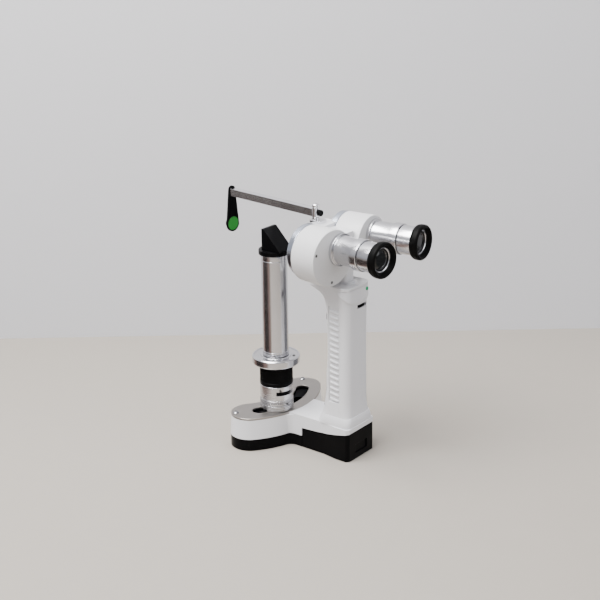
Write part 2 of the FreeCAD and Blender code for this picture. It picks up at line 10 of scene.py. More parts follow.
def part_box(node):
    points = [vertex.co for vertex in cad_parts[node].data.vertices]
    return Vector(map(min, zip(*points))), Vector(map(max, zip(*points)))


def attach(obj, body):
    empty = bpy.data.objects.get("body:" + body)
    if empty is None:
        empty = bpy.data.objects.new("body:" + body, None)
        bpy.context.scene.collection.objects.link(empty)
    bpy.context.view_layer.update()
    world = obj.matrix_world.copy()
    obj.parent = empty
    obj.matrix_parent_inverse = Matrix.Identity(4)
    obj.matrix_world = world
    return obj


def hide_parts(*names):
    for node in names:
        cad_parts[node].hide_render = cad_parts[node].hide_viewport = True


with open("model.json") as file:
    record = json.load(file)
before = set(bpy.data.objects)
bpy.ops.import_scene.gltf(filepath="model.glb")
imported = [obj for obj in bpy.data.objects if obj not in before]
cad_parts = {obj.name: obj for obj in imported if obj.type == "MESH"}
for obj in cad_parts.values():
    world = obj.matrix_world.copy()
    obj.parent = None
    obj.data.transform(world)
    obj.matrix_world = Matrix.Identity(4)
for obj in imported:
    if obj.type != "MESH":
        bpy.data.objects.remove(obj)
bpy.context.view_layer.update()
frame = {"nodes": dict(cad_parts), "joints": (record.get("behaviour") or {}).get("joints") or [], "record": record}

bl_info = {
    "name": "Handheld slit lamp",
    "version": (1, 0, 0),
    "blender": (4, 5, 0),
    "location": "View3D > Sidebar > Slit lamp",
    "description": "Builds the looks of a handheld slit lamp around its packed frame",
    "category": "Add Mesh",
}

JOINTS = {j["name"]: j for j in frame["joints"]}
BODY_OF = {n: b for b, ns in frame["record"]["behaviour"]["bodies"].items() for n in ns}
SIDES = (("left", -1), ("right", 1))
CAMERA_SHIFT = (-0.02917, -0.00167)
HANDLE_HALF, HANDLE_REAR = 0.0183, -0.0192      # half width, and y of the rear face
HANDLE_CORNER, HANDLE_SEAM = 0.007, -0.0085     # corner radius, and y of the seam
SIDE_CURVE = 60.0                               # how fast the handle's sides draw in to the front


# -------- properties
def colour(name, about, rgb):
    return FloatVectorProperty(name=name, description=about, default=rgb, size=3,
                               subtype="COLOR", min=0.0, max=1.0)


def length(name, about, metres):
    return FloatProperty(name=name, description=about, default=metres, min=0.0,
                         unit="LENGTH", subtype="DISTANCE", precision=5)


class SlitLampFinish(bpy.types.PropertyGroup):
    """Colours of the finishes."""
    shell: colour("Shell white", "Moulded shell of the base and handle", (0.66, 0.662, 0.685))
    can: colour("Can white", "Painted eyepiece cans", (0.60, 0.60, 0.612))
    plastic: colour("Cover black", "Bottom cover, battery block, paddle and wheel",
                    (0.0018, 0.0018, 0.0022))
    plate: colour("Plate steel", "Brushed crescent plate", (0.33, 0.31, 0.29))
    alloy: colour("Turned alloy", "Tube, carriage and eyepiece sleeves", (0.58, 0.58, 0.60))
    blued: colour("Blued alloy", "Front rings of the cans", (0.50, 0.54, 0.62))
    chrome: colour("Chrome", "Post and forehead arm", (0.72, 0.72, 0.74))
    anodised: colour("Black anodised", "Filter band and prism head", (0.0022, 0.0022, 0.0026))
    rubber: colour("Rubber", "Eyecups, brow pad and feet", (0.0022, 0.0022, 0.0022))
    disc: colour("Sight disc green", "Fixation disc on the paddle", (0.004, 0.20, 0.012))
    indicator: colour("Indicator green", "Charge indicator lens", (0.01, 0.25, 0.10))


class SlitLampSizes(bpy.types.PropertyGroup):
    """Sizes of the details that the looks add."""
    shell_edge: length("Housing edge bevel", "Bevel on the base housing's edges", 0.0009)
    soft_edge: length("Plain edge bevel", "Bevel on the other pieces' edges by default", 0.0003)
    rib_count: IntProperty(name="Grip ribs", description="Ribs on each side of the handle",
                           default=17, min=1)
    rib_pitch: length("Grip rib pitch", "Height between two grip ribs", 0.0054)
    rib_tilt: FloatProperty(name="Grip rib tilt", description="Slant of the grip ribs",
                            default=math.radians(8), subtype="ANGLE", unit="ROTATION")
    knurl_count: IntProperty(name="Band knurls", description="Knurls round the filter band",
                             default=96, min=3)
    wheel_knurls: IntProperty(name="Wheel knurls", description="Knurls round the thumbwheel",
                              default=48, min=3)
    # The carriage rings are dark rings that paint the shade in the carriage's grooves
    bead_count: IntProperty(name="Carriage rings", description="Thin dark rings on the carriage",
                            default=6, min=1)
    bead_pitch: length("Carriage ring pitch", "Height between two of the rings", 0.0016)
    hood_depth: length("Hood depth", "How far the hood stands off the handle", 0.0016)


class SlitLampStage(bpy.types.PropertyGroup):
    """Camera, table, wall and lights."""
    floor: colour("Floor", "Pale table top", (0.335, 0.308, 0.275))
    wall: colour("Wall", "Pale wall behind the table", (0.56, 0.56, 0.585))
    camera_at: FloatVectorProperty(name="Camera place", description="Where the camera stands",
                                   default=(-0.88305, -0.65452, 0.53728), size=3,
                                   unit="LENGTH", subtype="TRANSLATION")
    azimuth: FloatProperty(name="Camera azimuth", description="Turn of the view about +Z",
                           default=math.radians(-52.31), subtype="ANGLE", unit="ROTATION")
    elevation: FloatProperty(name="Camera elevation", description="Height of the view",
                             default=math.radians(19.30), subtype="ANGLE", unit="ROTATION")
    roll: FloatProperty(name="Camera roll", description="Turn about the line of sight",
                        default=math.radians(-0.515), subtype="ANGLE", unit="ROTATION")
    lens: FloatProperty(name="Lens", description="Focal length in millimetres",
                        default=76.13, min=10.0, subtype="NONE")
    key_light: FloatProperty(name="Overhead light", description="Power of the overhead softbox",
                             default=62.0, min=0.0, unit="POWER")
    fill_light: FloatProperty(name="Fill light", description="Power of the side softbox",
                              default=7.0, min=0.0, unit="POWER")


# -------- node helpers
class Sketch:
    """Adds and links the nodes of one tree."""

    def __init__(self, tree):
        self.tree = tree

    def add(self, kind, inputs=None, **props):
        node = self.tree.nodes.new(kind)
        for key, value in props.items():
            setattr(node, key, value)
        for key, value in (inputs or {}).items():
            socket = node.inputs[key]
            if isinstance(value, bpy.types.NodeSocket):
                self.tree.links.new(value, socket)
            else:
                socket.default_value = value
        return node

    def math(self, operation, a, b=0.0):
        return self.add("ShaderNodeMath", {0: a, 1: b}, operation=operation).outputs[0]


def new_group(name, kind, inputs, outputs):
    """A node group with its sockets, its inputs node and its outputs node."""
    tree = bpy.data.node_groups.new(name, kind)
    for label, socket, default in inputs:
        item = tree.interface.new_socket(label, in_out="INPUT", socket_type=socket)
        if default is not None:
            item.default_value = default
    for label, socket in outputs:
        tree.interface.new_socket(label, in_out="OUTPUT", socket_type=socket)
    sketch = Sketch(tree)
    return sketch, sketch.add("NodeGroupInput"), sketch.add("NodeGroupOutput")


def mottle_group():
    """Slow drift of colour and gloss over a surface, with faint handling smears."""
    name = "Surface mottle"
    if name in bpy.data.node_groups:
        return bpy.data.node_groups[name]
    s, gin, gout = new_group(name, "ShaderNodeTree", [
        ("Colour", "NodeSocketColor", (0.8, 0.8, 0.8, 1)), ("Drift", "NodeSocketFloat", 0.05),
        ("Scale", "NodeSocketFloat", 40.0), ("Roughness", "NodeSocketFloat", 0.4),
        ("Smear", "NodeSocketFloat", 0.1)],
        [("Colour", "NodeSocketColor"), ("Roughness", "NodeSocketFloat")])
    place = s.add("ShaderNodeTexCoord").outputs["Object"]
    broad = s.add("ShaderNodeTexNoise", {"Vector": place, "Scale": gin.outputs["Scale"],
                                         "Detail": 4.0, "Roughness": 0.55}).outputs[0]
    fine = s.add("ShaderNodeTexNoise", {"Vector": place, "Scale": 420.0, "Detail": 3.0,
                                        "Distortion": 0.6}).outputs[0]
    swing = s.math("SUBTRACT", broad, 0.5)
    light = s.math("ADD", s.math("MULTIPLY", swing, gin.outputs["Drift"]), 1.0)
    tint = s.add("ShaderNodeVectorMath", {0: gin.outputs["Colour"], "Scale": light},
                 operation="SCALE").outputs[0]
    smear = s.math("MULTIPLY", s.math("SUBTRACT", s.math("MULTIPLY", broad, fine), 0.25),
                   gin.outputs["Smear"])
    rough = s.math("ADD", smear, gin.outputs["Roughness"])
    s.tree.links.new(tint, gout.inputs["Colour"])
    s.tree.links.new(rough, gout.inputs["Roughness"])
    return s.tree


def skin_group():
    """Fine moulded or sprayed skin as a height, for a Bump node."""
    name = "Moulded skin"
    if name in bpy.data.node_groups:
        return bpy.data.node_groups[name]
    s, gin, gout = new_group(name, "ShaderNodeTree", [
        ("Grain", "NodeSocketFloat", 1200.0), ("Wave", "NodeSocketFloat", 60.0),
        ("Wave depth", "NodeSocketFloat", 1.0)], [("Height", "NodeSocketFloat")])
    place = s.add("ShaderNodeTexCoord").outputs["Object"]
    grain = s.add("ShaderNodeTexNoise", {"Vector": place, "Scale": gin.outputs["Grain"],
                                         "Detail": 2.0}).outputs[0]
    wave = s.add("ShaderNodeTexNoise", {"Vector": place, "Scale": gin.outputs["Wave"],
                                        "Detail": 1.0}).outputs[0]
    height = s.math("ADD", grain, s.math("MULTIPLY", wave, gin.outputs["Wave depth"]))
    s.tree.links.new(height, gout.inputs["Height"])
    return s.tree


def lay_group():
    """Fine tool lines that run square to one axis: high along the axis, slow across it."""
    name = "Tool lay"
    if name in bpy.data.node_groups:
        return bpy.data.node_groups[name]
    s, gin, gout = new_group(name, "ShaderNodeTree", [
        ("Stretch", "NodeSocketVector", (20.0, 20.0, 4000.0)),
        ("Turn", "NodeSocketVector", (0.0, 0.0, 0.0)),
        ("Colour", "NodeSocketColor", (0.8, 0.8, 0.8, 1)), ("Contrast", "NodeSocketFloat", 0.1),
        ("Roughness", "NodeSocketFloat", 0.25), ("Spread", "NodeSocketFloat", 0.15)],
        [("Colour", "NodeSocketColor"), ("Roughness", "NodeSocketFloat"),
         ("Height", "NodeSocketFloat")])
    place = s.add("ShaderNodeTexCoord").outputs["Object"]
    turned = s.add("ShaderNodeVectorRotate", {"Vector": place, "Rotation": gin.outputs["Turn"]},
                   rotation_type="EULER_XYZ").outputs[0]
    drawn = s.add("ShaderNodeVectorMath", {0: turned, 1: gin.outputs["Stretch"]},
                  operation="MULTIPLY").outputs[0]
    line = s.add("ShaderNodeTexNoise", {"Vector": drawn, "Scale": 1.0, "Detail": 4.0,
                                        "Roughness": 0.6}).outputs[0]
    slow = s.add("ShaderNodeTexNoise", {"Vector": place, "Scale": 60.0, "Detail": 2.0}).outputs[0]
    swing = s.math("SUBTRACT", line, 0.5)
    light = s.math("ADD", s.math("MULTIPLY", swing, gin.outputs["Contrast"]), 1.0)
    tint = s.add("ShaderNodeVectorMath", {0: gin.outputs["Colour"], "Scale": light},
                 operation="SCALE").outputs[0]
    both = s.math("ADD", swing, s.math("SUBTRACT", slow, 0.5))
    rough = s.math("ADD", s.math("MULTIPLY", both, gin.outputs["Spread"]),
                   gin.outputs["Roughness"])
    s.tree.links.new(tint, gout.inputs["Colour"])
    s.tree.links.new(rough, gout.inputs["Roughness"])
    s.tree.links.new(line, gout.inputs["Height"])
    return s.tree


# -------- materials
def shader(name, **constants):
    """A material with its Principled BSDF, whose plain values go on its own sockets."""
    material = bpy.data.materials.new(name)
    material.use_nodes = True
    sketch = Sketch(material.node_tree)
    bsdf = material.node_tree.nodes["Principled BSDF"]
    for key, value in constants.items():
        bsdf.inputs[key.replace("_", " ")].default_value = value
    return material, sketch, bsdf


def moulded(name, rgb, rough, drift=0.03, smear=0.12, grain=1100.0, depth=0.00002,
            wave=1.0, **constants):
    """A moulded, sprayed or rubber finish."""
    material, s, bsdf = shader(name, **constants)
    mottle = s.add("ShaderNodeGroup", {"Colour": (*rgb, 1.0), "Drift": drift, "Roughness": rough,
                                       "Smear": smear}, node_tree=mottle_group())
    skin = s.add("ShaderNodeGroup", {"Grain": grain, "Wave depth": wave},
                 node_tree=skin_group())
    bump = s.add("ShaderNodeBump", {"Height": skin.outputs["Height"], "Distance": depth,
                                    "Strength": 0.6})
    s.tree.links.new(mottle.outputs["Colour"], bsdf.inputs["Base Color"])
    s.tree.links.new(mottle.outputs["Roughness"], bsdf.inputs["Roughness"])
    s.tree.links.new(bump.outputs["Normal"], bsdf.inputs["Normal"])
    return material


def tooled(name, rgb, rough, stretch, turn=(0, 0, 0), contrast=0.10, spread=0.12,
           depth=0.00003, **constants):
    """A turned, brushed or drawn metal finish."""
    material, s, bsdf = shader(name, Metallic=1.0, **constants)
    lay = s.add("ShaderNodeGroup", {"Stretch": stretch, "Turn": turn, "Colour": (*rgb, 1.0),
                                    "Contrast": contrast, "Roughness": rough, "Spread": spread},
                node_tree=lay_group())
    bump = s.add("ShaderNodeBump", {"Height": lay.outputs["Height"], "Distance": depth,
                                    "Strength": 0.5})
    s.tree.links.new(lay.outputs["Colour"], bsdf.inputs["Base Color"])
    s.tree.links.new(lay.outputs["Roughness"], bsdf.inputs["Roughness"])
    s.tree.links.new(bump.outputs["Normal"], bsdf.inputs["Normal"])
    return material


def glass(name, rgb, rough, ior):
    """A clear coated glass."""
    material, s, bsdf = shader(name, IOR=ior, Transmission_Weight=1.0, Metallic=0.0,
                               Coat_Weight=0.6, Coat_Tint=(0.80, 0.95, 0.85, 1))
    mottle = s.add("ShaderNodeGroup", {"Colour": (*rgb, 1.0), "Drift": 0.02, "Roughness": rough,
                                       "Smear": 0.04}, node_tree=mottle_group())
    s.tree.links.new(mottle.outputs["Colour"], bsdf.inputs["Base Color"])
    s.tree.links.new(mottle.outputs["Roughness"], bsdf.inputs["Roughness"])
    return material


def can_turn(side):
    """Euler turn that brings a can's axis onto Y."""
    ax = JOINTS["can_turn_" + side]["axis"]
    return (0.0, 0.0, math.atan2(ax[0], ax[1]))


# How far the tool lines are stretched along X, Y and Z
ROUND_Z = (14.0, 14.0, 3200.0)
ROUND_Y = (14.0, 3200.0, 14.0)
SPUN = (900.0, 900.0, 900.0)

# Each finish: its maker, material name, colour (or the property with it), roughness and the rest
FINISHES = {
    "shell": (moulded, "Moulded white shell", "shell", 0.30,
              dict(Coat_Weight=0.25, Coat_Roughness=0.12)),
    "can": (moulded, "Painted can", "can", 0.36,
            dict(wave=0.5, Coat_Weight=0.15, Coat_Roughness=0.2)),
    "cover": (moulded, "Moulded black cover", "plastic", 0.34,
              dict(drift=0.4, grain=900.0, depth=0.00004, Specular_IOR_Level=0.05)),
    "rubber": (moulded, "Eyecup rubber", "rubber", 0.42,
               dict(drift=0.35, smear=0.2, grain=1500.0, depth=0.00004, Specular_IOR_Level=0.05)),
    "anodised": (moulded, "Black anodised", "anodised", 0.33,
                 dict(drift=0.5, smear=0.2, grain=1800.0, depth=0.00002, Specular_IOR_Level=0.05)),
    "disc": (moulded, "Sight disc green", "disc", 0.45, dict(drift=0.12)),
    "board": (moulded, "Circuit board", (0.02, 0.16, 0.06), 0.35, dict(drift=0.3)),
    "wrap": (moulded, "Cell wrap", (0.06, 0.14, 0.42), 0.3, dict(drift=0.15)),
    # The eye lens's near-black colour paints the shade inside the eyepiece seen through the glass
    "eye glass": (moulded, "Eye lens painted shade", (0.004, 0.005, 0.005), 0.06,
                  dict(drift=0.1, smear=0.02, depth=0.0, Specular_IOR_Level=0.3,
                       Coat_Weight=0.15)),
    "indicator": (moulded, "Indicator lens", "indicator", 0.15,
                  dict(drift=0.2, Transmission_Weight=0.35, Emission_Color=(0.02, 0.5, 0.2, 1),
                       Emission_Strength=0.15)),
    "glass": (glass, "Coated glass", (0.90, 0.95, 0.93), 0.02, dict(ior=1.52)),
    "plate": (tooled, "Brushed crescent plate", "plate", 0.36,
              dict(stretch=(40.0, 2600.0, 40.0), turn=(0, 0, 0.5), contrast=0.10)),
    "tube": (tooled, "Turned tube", "alloy", 0.20, dict(stretch=ROUND_Z, contrast=0.06)),
    "carriage": (tooled, "Turned carriage", "alloy", 0.26,
                 dict(stretch=ROUND_Z, contrast=0.14, spread=0.2)),
    # Dark rings standing for the carriage's grooves: their colour is painted groove shade
    "groove": (tooled, "Groove painted shade", (0.22, 0.22, 0.23), 0.34,
               dict(stretch=ROUND_Z, contrast=0.3)),
    "left": (tooled, "Turned sleeve left", "alloy", 0.20,
             dict(stretch=ROUND_Y, turn=can_turn("left"), contrast=0.08)),
    "right": (tooled, "Turned sleeve right", "alloy", 0.20,
              dict(stretch=ROUND_Y, turn=can_turn("right"), contrast=0.08)),
    "front rings": (tooled, "Blued front ring left", "blued", 0.22,
                    dict(stretch=ROUND_Y, turn=can_turn("left"))),
    "chrome": (tooled, "Polished chrome", "chrome", 0.12,
               dict(stretch=(60.0, 60.0, 900.0), contrast=0.03, spread=0.05, depth=0.000004)),
    "bar": (tooled, "Ground bar", "chrome", 0.24,
            dict(stretch=(2600.0, 16.0, 2600.0), contrast=0.08, turn=(0, 0, math.radians(6)))),
    "screw": (tooled, "Screw steel", (0.55, 0.55, 0.56), 0.28, dict(stretch=SPUN, contrast=0.2)),
    "plate screw": (tooled, "Domed plate screw", (0.30, 0.30, 0.31), 0.22,
                    dict(stretch=SPUN, contrast=0.2)),
    "dark screw": (tooled, "Blackened screw", (0.10, 0.10, 0.10), 0.34, dict(stretch=SPUN)),
    "brass": (tooled, "Turned brass", (0.75, 0.56, 0.26), 0.25, dict(stretch=ROUND_Z)),
}


def finish(which):
    """The material of a finish, made when it is first asked for."""
    maker, name, rgb, rough, rest = FINISHES[which]
    if name in bpy.data.materials:
        return bpy.data.materials[name]
    if isinstance(rgb, str):
        rgb = getattr(bpy.context.scene.slit_lamp_finish, rgb)
    return maker(name, rgb, rough, **rest)


# -------- places
def at_joint(name, z=None):
    """A joint's point, at height z if one is given."""
    place = Vector(JOINTS[name]["pos_m"])
    if z is not None:
        place.z = z
    return place


def along_can(side, name=None):
    """Matrix that takes a piece turned about +Y to a can, or to the eyepiece on it."""
    can = JOINTS["can_turn_" + side]
    place = at_joint(name) if name else at_joint("can_turn_" + side)
    axis = Vector(can["axis"])
    back = (place - at_joint("can_turn_" + side)).dot(axis)
    turn = Matrix.Rotation(math.atan2(-axis.x, axis.y), 4, "Z")
    return Matrix.Translation(place - axis * back) @ turn


# -------- mesh helpers
def link(name, mesh):
    piece = bpy.data.objects.new(name, mesh)
    bpy.context.scene.collection.objects.link(piece)
    return piece


def smooth(mesh, angle=32.0):
    mesh.shade_smooth()
    mesh.set_sharp_from_angle(angle=math.radians(angle))


def mesh_from(name, bm, angle=32.0):
    """A mesh from bm, with doubles merged and its faces outward."""
    bmesh.ops.remove_doubles(bm, verts=bm.verts, dist=1e-6)
    bmesh.ops.dissolve_degenerate(bm, edges=bm.edges, dist=1e-7)
    bmesh.ops.recalc_face_normals(bm, faces=bm.faces)
    mesh = bpy.data.meshes.new(name)
    bm.to_mesh(mesh)
    bm.free()
    smooth(mesh, angle)
    return mesh


def settle(piece, nodes, look, body=None):
    """Gives a finished piece its finish, body and the nodes that it stands for."""
    nodes = [nodes] if isinstance(nodes, str) else list(nodes)
    piece.data.materials.clear()
    piece.data.materials.append(finish(look))
    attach(piece, body or BODY_OF[nodes[0]])
    if nodes:
        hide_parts(*nodes)


def carry(look, *nodes):
    """Gives CAD nodes that keep their shape a finish."""
    for node in nodes:
        mesh = frame["nodes"][node].data
        mesh.materials.clear()
        mesh.materials.append(finish(look))
        smooth(mesh, 30.0)


def softened(node, look, width=None, segments=2):
    """A copy of a CAD node with its sharp edges bevelled, which stands for the node."""
    width = width or bpy.context.scene.slit_lamp_sizes.soft_edge
    bm = bmesh.new()
    bm.from_mesh(frame["nodes"][node].data)
    bmesh.ops.remove_doubles(bm, verts=bm.verts, dist=1e-6)
    bmesh.ops.dissolve_limit(bm, angle_limit=math.radians(0.3), verts=bm.verts, edges=bm.edges)
    mesh = mesh_from(node + "_finished", bm, 40.0)
    piece = link(node + "_finished", mesh)
    bevel = piece.modifiers.new("Soft edges", "BEVEL")
    bevel.width = width
    bevel.segments = segments
    bevel.limit_method = "ANGLE"
    bevel.angle_limit = math.radians(28.0)
    bevel.use_clamp_overlap = True
    bevel.harden_normals = False
    bevel.miter_outer = "MITER_ARC"
    piece.modifiers.new("Even shading", "WEIGHTED_NORMAL").keep_sharp = True
    settle(piece, node, look)


def rounded(points, steps=4):
    """Outline points (across, along, corner radius) with each corner made an arc."""
    out = []
    for i, (a, b, radius) in enumerate(points):
        here = Vector((a, b))
        if radius <= 0:
            out.append(here)
            continue
        back = Vector(points[i - 1][:2]) - here
        fore = Vector(points[(i + 1) % len(points)][:2]) - here
        half = back.angle(fore) / 2
        reach = min(radius / math.tan(half), back.length * 0.49, fore.length * 0.49)
        start = here + back.normalized() * reach
        end = here + fore.normalized() * reach
        for k in range(steps + 1):
            t = k / steps
            out.append(start * (1 - t) ** 2 + here * 2 * t * (1 - t) + end * t * t)
    return out


def turned(name, outline, matrix, closed=False, steps=96, along="Y"):
    """A mesh turned from an outline of (radius, along, corner) points about Y or Z.
    An open outline starts and ends on the axis; a closed one makes a ring."""
    points = rounded(outline)
    bm = bmesh.new()
    rows = []
    for k in range(steps):
        angle = 2 * math.pi * k / steps
        c, s = math.cos(angle), math.sin(angle)
        row = []
        for p in points:
            where = (p.x * c, p.y, p.x * s) if along == "Y" else (p.x * c, p.x * s, p.y)
            row.append(bm.verts.new(matrix @ Vector(where)))
        rows.append(row)
    count = len(points) if closed else len(points) - 1
    for k in range(steps):
        this, other = rows[k], rows[(k + 1) % steps]
        for i in range(count):
            j = (i + 1) % len(points)
            bm.faces.new((this[i], this[j], other[j], other[i]))
    return mesh_from(name, bm)


def turned_piece(name, outline, matrix, nodes, look, body=None, slot=None, **how):
    """A finished piece turned from an outline."""
    settle(link(name, turned(name, outline, matrix, **how)), nodes, look, body)


def repeat_group():
    """Copies of one piece, stepped along a line and turned about Z, then set in place."""
    name = "Repeat along and around"
    if name in bpy.data.node_groups:
        return bpy.data.node_groups[name]
    s, gin, gout = new_group(name, "GeometryNodeTree", [
        ("Geometry", "NodeSocketGeometry", None), ("Count", "NodeSocketInt", 3),
        ("Step", "NodeSocketVector", (0, 0, 0)), ("Turn", "NodeSocketFloat", 0.0),
        ("Tilt", "NodeSocketFloat", 0.0), ("Material", "NodeSocketMaterial", None)],
        [("Geometry", "NodeSocketGeometry")])
    line = s.add("GeometryNodeMeshLine", {"Count": gin.outputs["Count"],
                                          "Offset": gin.outputs["Step"]})
    index = s.add("GeometryNodeInputIndex").outputs[0]
    turn = s.math("MULTIPLY", index, gin.outputs["Turn"])
    spin = s.add("ShaderNodeCombineXYZ", {"X": gin.outputs["Tilt"], "Z": turn}).outputs[0]
    copies = s.add("GeometryNodeInstanceOnPoints", {"Points": line.outputs[0],
                                                    "Instance": gin.outputs["Geometry"],
                                                    "Rotation": spin})
    real = s.add("GeometryNodeRealizeInstances", {"Geometry": copies.outputs[0]})
    dressed = s.add("GeometryNodeSetMaterial", {"Geometry": real.outputs[0],
                                                "Material": gin.outputs["Material"]})
    s.tree.links.new(dressed.outputs[0], gout.inputs["Geometry"])
    return s.tree


def repeated(name, element, look, count, step=(0, 0, 0), turn=0.0, tilt=0.0, matrix=None):
    """Runs the repeat tree on one element's mesh and returns the finished plain mesh."""
    source = link(name + "_element", element)
    modifier = source.modifiers.new("Repeat", "NODES")
    tree = repeat_group()
    sockets = {item.name: item.identifier for item in tree.interface.items_tree
               if item.item_type == "SOCKET" and item.in_out == "INPUT"}
    modifier.node_group = tree
    modifier[sockets["Count"]] = count
    modifier[sockets["Step"]] = step
    modifier[sockets["Turn"]] = turn
    modifier[sockets["Tilt"]] = tilt
    modifier[sockets["Material"]] = finish(look)
    graph = bpy.context.evaluated_depsgraph_get()
    graph.update()
    mesh = bpy.data.meshes.new_from_object(source.evaluated_get(graph), depsgraph=graph)
    source.modifiers.remove(modifier)
    bpy.data.objects.remove(source)
    mesh.name = name
    mesh.transform(matrix or Matrix.Identity(4))
    mesh.update()
    smooth(mesh)
    return mesh


def joined(name, *meshes):
    """Several meshes as one, each of them used up."""
    bm = bmesh.new()
    for mesh in meshes:
        bm.from_mesh(mesh)
        bpy.data.meshes.remove(mesh)
    mesh = bpy.data.meshes.new(name)
    bm.to_mesh(mesh)
    bm.free()
    smooth(mesh)
    return mesh


def bar_element(name, length_x, length_y, height, taper=0.6):
    """A small rib: flat foot, sloped flanks and a narrower crest along +X."""
    bm = bmesh.new()
    foot, crest = height / 2, height / 2 * taper
    ring = []
    for x, half in ((0.0, foot), (length_x * 0.7, foot * 0.92), (length_x, crest)):
        short = length_y / 2 - (foot - half) * 1.5
        ring.append([bm.verts.new((x, y, z)) for y, z in
                     ((-short, -half), (short, -half), (short, half), (-short, half))])
    for lower, upper in zip(ring, ring[1:]):
        for i in range(4):
            j = (i + 1) % 4
            bm.faces.new((lower[i], lower[j], upper[j], upper[i]))
    bm.faces.new(ring[0])
    bm.faces.new(ring[-1])
    return mesh_from(name, bm)


# -------- stage
class SLITLAMP_OT_stage(bpy.types.Operator):
    """Make the camera, the pale table and wall, the soft lights and the gloss cards"""
    bl_idname = "slit_lamp.stage"
    bl_label = "Stage"

    def execute(self, context):
        st = context.scene.slit_lamp_stage
        camera_data = bpy.data.cameras.new("Camera")
        camera = bpy.data.objects.new("Camera", camera_data)
        context.scene.collection.objects.link(camera)
        camera_data.sensor_width = 36.0
        camera_data.lens = st.lens
        camera_data.shift_x, camera_data.shift_y = CAMERA_SHIFT
        camera_data.clip_start, camera_data.clip_end = 0.01, 50.0
        back = Vector((math.sin(st.azimuth) * math.cos(st.elevation),
                       -math.cos(st.azimuth) * math.cos(st.elevation), math.sin(st.elevation)))
        camera.rotation_mode = "QUATERNION"
        camera.rotation_quaternion = ((-back).to_track_quat("-Z", "Y")
                                      @ Quaternion((0, 0, 1), st.roll))
        camera.location = st.camera_at
        context.scene.camera = camera
        self.table_and_wall(st)
        self.lights(context, st)
        self.gloss_cards()
        return {"FINISHED"}

    def table_and_wall(self, st):
        """Pale table and a wall that is clear from behind, so that other views see past it."""
        foot = Vector((0.255, 0.183, 0.0))      # where the wall meets the table
        along = Vector((0.63, -0.776, 0.0)).normalized()
        near = Vector((-along.y, along.x, 0.0))
        if near.dot(foot) > 0:
            near = -near
        first, last, up = foot - along * 6, foot + along * 6, Vector((0, 0, 5))
        table = self.quad("table", [first, last, last + near * 8, first + near * 8])
        behind = self.quad("table_behind", [first, first - near * 4, last - near * 4, last])
        wall = self.quad("wall", [first, last, last + up, first + up])
        if wall.data.polygons[0].normal.dot(near) < 0:
            wall.data.flip_normals()
        table_look = moulded("Table top", st.floor, 0.9, drift=0.03, smear=0.02, depth=0.00001,
                             Specular_IOR_Level=0.0)
        wall_look = moulded("Wall paint", st.wall, 0.8, drift=0.02, smear=0.02)
        s = Sketch(wall_look.node_tree)
        out = wall_look.node_tree.nodes["Material Output"]
        bsdf = wall_look.node_tree.nodes["Principled BSDF"]
        see = s.add("ShaderNodeBsdfTransparent").outputs[0]
        side = s.add("ShaderNodeNewGeometry").outputs["Backfacing"]
        mix = s.add("ShaderNodeMixShader", {0: side, 1: bsdf.outputs[0], 2: see}).outputs[0]
        wall_look.node_tree.links.new(mix, out.inputs["Surface"])
        for piece, look in ((table, table_look), (behind, table_look), (wall, wall_look)):
            piece.data.materials.append(look)

    def quad(self, name, corners):
        """A four-cornered sheet, which faces up if it lies flat."""
        mesh = bpy.data.meshes.new(name)
        mesh.from_pydata([tuple(c) for c in corners], [], [(0, 1, 2, 3)])
        mesh.update()
        piece = link(name, mesh)
        if mesh.polygons[0].normal.z < -0.5:
            mesh.flip_normals()
        return piece

    def area(self, name, place, target, size, power, rgb):
        """A square soft light at a place, aimed at a target."""
        data = bpy.data.lights.new(name, "AREA")
        data.energy = power
        data.color = rgb
        data.shape = "RECTANGLE"
        data.size = data.size_y = size
        lamp = bpy.data.objects.new(name, data)
        bpy.context.scene.collection.objects.link(lamp)
        lamp.location = place
        lamp.rotation_mode = "QUATERNION"
        lamp.rotation_quaternion = (Vector(target) - Vector(place)).to_track_quat("-Z", "Y")

    def lights(self, context, st):
        aim = (0.0, 0.03, 0.12)
        self.area("overhead_softbox", (-0.55, 0.20, 1.35), aim, 1.0, st.key_light,
                  (1, 0.99, 0.97))
        self.area("side_softbox", (0.35, -1.5, 0.7), aim, 0.9, st.fill_light, (0.97, 0.98, 1.0))
        world = bpy.data.worlds.new("Studio")
        context.scene.world = world
        world.use_nodes = True
        s = Sketch(world.node_tree)
        bg = world.node_tree.nodes["Background"]
        way = s.add("ShaderNodeTexCoord").outputs["Generated"]
        height = s.add("ShaderNodeSeparateXYZ", {0: way}).outputs["Z"]
        half = s.math("ADD", s.math("MULTIPLY", height, 0.5), 0.5)
        ramp = s.add("ShaderNodeValToRGB", {0: half})
        ramp.color_ramp.elements[0].color = (0.62, 0.62, 0.66, 1)
        ramp.color_ramp.elements[0].position = 0.45
        ramp.color_ramp.elements[1].color = (0.95, 0.95, 1.0, 1)
        ramp.color_ramp.elements[1].position = 0.75
        s.tree.links.new(ramp.outputs[0], bg.inputs["Color"])
        bg.inputs["Strength"].default_value = 0.85

    def gloss_cards(self):
        """Dark sheets on the table round the lamp tower, seen only in reflections."""
        tower = at_joint("slit_turn", 0.0)
        # name, first and last angle in degrees, height, colour
        cards = (("side_card", 92, 182, 0.0008, (0.10, 0.065, 0.055)),
                 ("dark_card", 112, 160, 0.0012, (0.012, 0.008, 0.007)),
                 ("grey_card", 296, 344, 0.0010, (0.09, 0.09, 0.095)))
        near, far = 0.16, 1.3
        for name, start, end, height, rgb in cards:
            first, last = math.radians(start), math.radians(end)
            corners = [tower + Vector((math.cos(a) * d, math.sin(a) * d, height)) for a, d in
                       ((first, near), (last, near), (last, far), (first, far))]
            card = self.quad(name, corners)
            card.data.materials.append(moulded(name.replace("_", " "), rgb, 0.8,
                                               Specular_IOR_Level=0.05))
            card.visible_camera = card.visible_diffuse = False
            card.visible_shadow = card.visible_transmission = False


